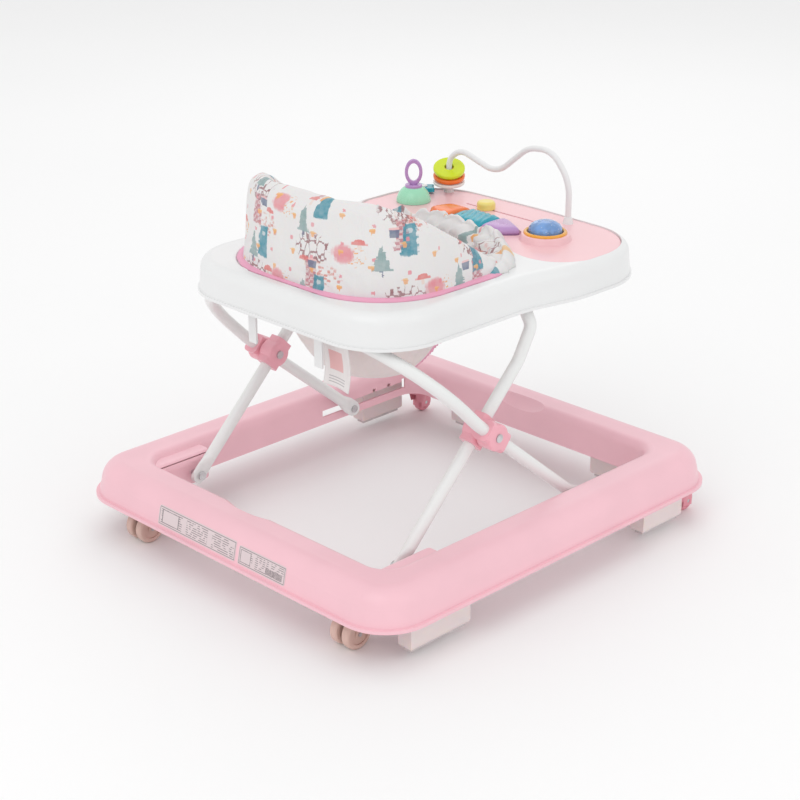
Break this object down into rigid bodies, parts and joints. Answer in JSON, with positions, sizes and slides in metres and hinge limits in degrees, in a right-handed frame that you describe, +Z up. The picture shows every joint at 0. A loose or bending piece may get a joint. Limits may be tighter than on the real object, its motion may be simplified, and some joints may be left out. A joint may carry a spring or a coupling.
{
  "type": "baby walker",
  "caption": "Rolling baby walker: a moulded base ring on wheels, a folding X frame of white tubes, and a tray that holds a padded sling seat and activity toys.",
  "frame": {"origin": "on the floor under the middle of the base ring", "axes": "+Z up, +Y towards the toys at the front, +X to the child's right"},
  "size_m": [0.643, 0.7, 0.544],
  "materials": {
    "rail_plastic": "satin moulded pink plastic",
    "rivet_steel": "plated steel",
    "stopper_plastic": "milky translucent plastic",
    "grip_rubber": "soft grey rubber",
    "sticker_paper": "matt printed film",
    "white_plastic": "white moulded plastic",
    "wheel_plastic": "beige-pink moulded plastic",
    "caster_plastic": "deep pink moulded plastic",
    "tube_paint": "white powder coat",
    "clamp_plastic": "pink moulded plastic",
    "panel_plastic": "pale pink plastic",
    "board_green": "circuit board",
    "cell_metal": "wrapped cells",
    "bar_white": "white glossy plastic",
    "lime": "lime plastic",
    "orange": "orange plastic",
    "pale_disc": "off-white plastic",
    "teal": "teal plastic",
    "purple": "lilac plastic",
    "mint": "mint plastic",
    "yellow": "soft yellow plastic",
    "amber": "amber plastic",
    "light_blue": "clear blue faceted plastic",
    "seat_fabric": "printed woven polyester",
    "piping_fabric": "pink binding",
    "tag_fabric": "printed satin label"
  },
  "bodies": {
    "base": {"base_frame": "rail_plastic", "rear_pivot_rivets": "rivet_steel", "side_stoppers": "stopper_plastic", "front_stopper": "stopper_plastic", "stopper_grips": "grip_rubber", "rating_sticker": "sticker_paper", "stock_sticker": "sticker_paper", "rear_wheel_mounts": "white_plastic", "rear_axles": "rivet_steel", "caster_sockets": "white_plastic"},
    "front_leg": {"front_leg_tube": "tube_paint", "front_leg_sleeves": "clamp_plastic", "cross_rivets": "rivet_steel", "slot_pins": "rivet_steel"},
    "tray": {"tray_shell": "white_plastic", "leg_guides": "white_plastic", "bar_saddles": "white_plastic", "saddle_straps": "white_plastic", "saddle_screws": "rivet_steel", "toy_panel": "panel_plastic", "electronics_case": "white_plastic", "battery_door": "white_plastic", "circuit_board": "board_green", "batteries": "cell_metal", "seat_tabs": "white_plastic", "bead_bar": "bar_white", "bar_feet": "white_plastic", "star_post": "white_plastic", "light_ring": "amber", "seat_back": "seat_fabric", "seat_sling": "seat_fabric", "seat_piping": "piping_fabric", "hanging_tag": "tag_fabric"},
    "disc_lime": {"disc_lime": "lime"},
    "disc_orange": {"disc_orange": "orange"},
    "disc_white": {"disc_white": "pale_disc"},
    "star": {"star_spinner": "teal"},
    "dome": {"mint_dome": "mint", "ring_toy": "purple"},
    "key_orange": {"key_orange": "orange"},
    "key_teal": {"key_teal": "teal"},
    "key_purple": {"key_purple": "purple"},
    "slider": {"slider_knob": "yellow"},
    "light": {"light_dome": "light_blue"},
    "rear_leg_right": {"rear_leg_tube_right": "tube_paint", "rear_leg_sleeve_right": "clamp_plastic", "rear_leg_slider_right": "white_plastic"},
    "rear_wheel_right": {"rear_wheels_right": "wheel_plastic"},
    "caster_right": {"caster_fork_right": "caster_plastic", "caster_axle_right": "rivet_steel"},
    "caster_wheel_right": {"caster_wheel_right": "caster_plastic"},
    "rear_leg_left": {"rear_leg_tube_left": "tube_paint", "rear_leg_sleeve_left": "clamp_plastic", "rear_leg_slider_left": "white_plastic"},
    "rear_wheel_left": {"rear_wheels_left": "wheel_plastic"},
    "caster_left": {"caster_fork_left": "caster_plastic", "caster_axle_left": "rivet_steel"},
    "caster_wheel_left": {"caster_wheel_left": "caster_plastic"}
  },
  "joints": [
    {"name": "fold", "type": "hinge", "parent": "base", "child": "rear_leg_right", "pos_m": [0.207, -0.213, 0.074], "axis": [-1, 0, 0], "range_deg": [-6, 28]},
    {"name": "rear_leg_left_fold", "type": "hinge", "parent": "base", "child": "rear_leg_left", "pos_m": [-0.207, -0.213, 0.074], "axis": [-1, 0, 0], "range_deg": [-6.2, 28.2]},
    {"name": "front_leg_cross", "type": "hinge", "parent": "rear_leg_right", "child": "front_leg", "pos_m": [0.22, -0.062, 0.225], "axis": [1, 0, 0], "range_deg": [-11.38, 52.37]},
    {"name": "tray_level", "type": "hinge", "parent": "front_leg", "child": "tray", "pos_m": [0, -0.223, 0.38], "axis": [-1, 0, 0], "range_deg": [-5.38, 24.37]},
    {"name": "rear_wheel_right_spin", "type": "hinge", "parent": "base", "child": "rear_wheel_right", "pos_m": [0.216, -0.309, 0.022], "axis": [1, 0, 0], "continuous": true},
    {"name": "caster_right_swivel", "type": "hinge", "parent": "base", "child": "caster_right", "pos_m": [0.274, 0.314, 0.06], "axis": [0, 0, 1], "continuous": true},
    {"name": "caster_wheel_right_spin", "type": "hinge", "parent": "caster_right", "child": "caster_wheel_right", "pos_m": [0.274, 0.324, 0.016], "axis": [1, 0, 0], "continuous": true},
    {"name": "rear_wheel_left_spin", "type": "hinge", "parent": "base", "child": "rear_wheel_left", "pos_m": [-0.216, -0.309, 0.022], "axis": [1, 0, 0], "continuous": true},
    {"name": "caster_left_swivel", "type": "hinge", "parent": "base", "child": "caster_left", "pos_m": [-0.274, 0.314, 0.06], "axis": [0, 0, 1], "continuous": true},
    {"name": "caster_wheel_left_spin", "type": "hinge", "parent": "caster_left", "child": "caster_wheel_left", "pos_m": [-0.274, 0.324, 0.016], "axis": [1, 0, 0], "continuous": true},
    {"name": "disc_white_spin", "type": "hinge", "parent": "tray", "child": "disc_white", "pos_m": [-0.161, 0.265, 0.4325], "axis": [0.0739, -0.0739, 0.9945], "continuous": true},
    {"name": "disc_orange_spin", "type": "hinge", "parent": "tray", "child": "disc_orange", "pos_m": [-0.161, 0.265, 0.442], "axis": [0.1711, -0.1711, 0.9703], "continuous": true},
    {"name": "disc_lime_spin", "type": "hinge", "parent": "tray", "child": "disc_lime", "pos_m": [-0.161, 0.265, 0.4535], "axis": [0.2876, -0.2876, 0.9135], "continuous": true},
    {"name": "star_spin", "type": "hinge", "parent": "tray", "child": "star", "pos_m": [-0.186, 0.234, 0.42], "axis": [0, 0, 1], "continuous": true},
    {"name": "dome_spin", "type": "hinge", "parent": "tray", "child": "dome", "pos_m": [-0.163, 0.189, 0.42], "axis": [0, 0, 1], "continuous": true},
    {"name": "slider_travel", "type": "slide", "parent": "tray", "child": "slider", "axis": [1, 0, 0], "range_m": [-0.033, 0.099]},
    {"name": "light_press", "type": "slide", "parent": "tray", "child": "light", "axis": [0, 0, -1], "range_m": [0, 0.002], "stiffness_N_per_m": 400},
    {"name": "key_orange_press", "type": "slide", "parent": "tray", "child": "key_orange", "axis": [0, 0, -1], "range_m": [0, 0.002], "stiffness_N_per_m": 400},
    {"name": "key_teal_press", "type": "slide", "parent": "tray", "child": "key_teal", "axis": [0, 0, -1], "range_m": [0, 0.002], "stiffness_N_per_m": 400},
    {"name": "key_purple_press", "type": "slide", "parent": "tray", "child": "key_purple", "axis": [0, 0, -1], "range_m": [0, 0.002], "stiffness_N_per_m": 400}
  ],
  "couplings": [
    {"joint": "rear_leg_left_fold", "follows": "fold", "ratio": 1},
    {"joint": "front_leg_cross", "follows": "fold", "ratio": 1.8631},
    {"joint": "tray_level", "follows": "fold", "ratio": 0.8631}
  ]
}
